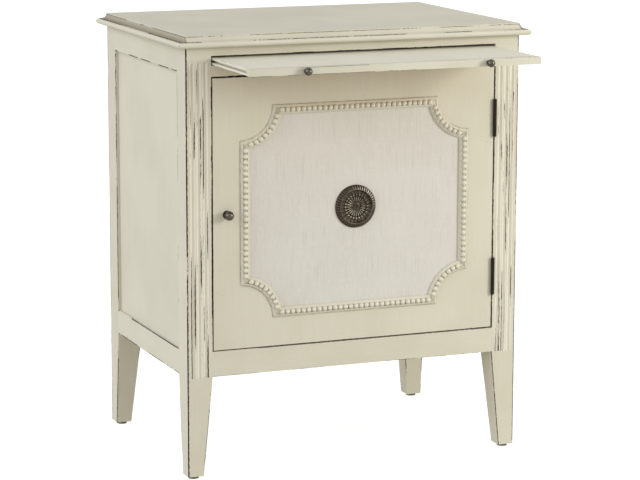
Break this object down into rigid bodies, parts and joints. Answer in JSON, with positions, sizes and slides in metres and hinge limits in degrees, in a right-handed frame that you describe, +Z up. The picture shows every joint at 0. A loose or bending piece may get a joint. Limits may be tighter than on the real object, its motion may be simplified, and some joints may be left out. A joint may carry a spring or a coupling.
{
  "type": "storage side table with door",
  "caption": "Painted side table on tapered legs: a cabinet with a linen-panelled hinged door framed in pearl beading, under a moulded top with a pull-out tray.",
  "frame": {"origin": "on the floor, in the middle of the table's outline as it stands with the door closed and the tray drawn out 180 mm", "axes": "+X to the right seen from the front, +Y to the back, +Z up; the door faces -Y"},
  "size_m": [0.649, 0.6418, 0.762],
  "materials": {
    "painted_wood": "cream paint, rubbed through to dark brown along the edges",
    "bare_wood": "plain sanded wood",
    "linen": "plain-woven linen, undyed",
    "dark_bronze": "dark bronze patina, satin",
    "strike_steel": "plain steel",
    "catch_plastic": "brown moulded case",
    "glide_plastic": "matt grey"
  },
  "bodies": {
    "carcase": {"top": "painted_wood", "front_left_post": "painted_wood", "front_right_post": "painted_wood", "back_left_post": "painted_wood", "back_right_post": "painted_wood", "front_top_rail": "painted_wood", "front_middle_rail": "painted_wood", "front_bottom_rail": "painted_wood", "back_top_rail": "painted_wood", "back_bottom_rail": "painted_wood", "left_side_top_rail": "painted_wood", "left_side_bottom_rail": "painted_wood", "right_side_top_rail": "painted_wood", "right_side_bottom_rail": "painted_wood", "left_side_panel": "painted_wood", "right_side_panel": "painted_wood", "back_panel": "painted_wood", "cabinet_floor": "painted_wood", "shelf": "painted_wood", "dust_panel": "bare_wood", "left_tray_runner": "bare_wood", "right_tray_runner": "bare_wood", "left_top_cleat": "bare_wood", "right_top_cleat": "bare_wood", "hinge_post_leaves": "dark_bronze", "glides": "glide_plastic", "catch_magnet": "catch_plastic", "shelf_pins": "strike_steel"},
    "door": {"door_board": "painted_wood", "panel_board": "bare_wood", "linen_cover": "linen", "top_moulding": "painted_wood", "bottom_moulding": "painted_wood", "left_moulding": "painted_wood", "right_moulding": "painted_wood", "corner_mouldings": "painted_wood", "medallion": "dark_bronze", "door_knob": "dark_bronze", "hinge_door_leaves": "dark_bronze", "strike_plate": "strike_steel"},
    "tray": {"tray_board": "painted_wood", "tray_front_strip": "painted_wood", "tray_stop_blocks": "bare_wood", "tray_knobs": "dark_bronze"}
  },
  "joints": [
    {"name": "door_hinge", "type": "hinge", "parent": "carcase", "child": "door", "pos_m": [0.2621, -0.12915, 0.45675], "axis": [0, 0, 1], "range_deg": [0, 170]},
    {"name": "tray_slide", "type": "slide", "parent": "carcase", "child": "tray", "axis": [0, -1, 0], "range_m": [-0.18, 0.058]}
  ]
}
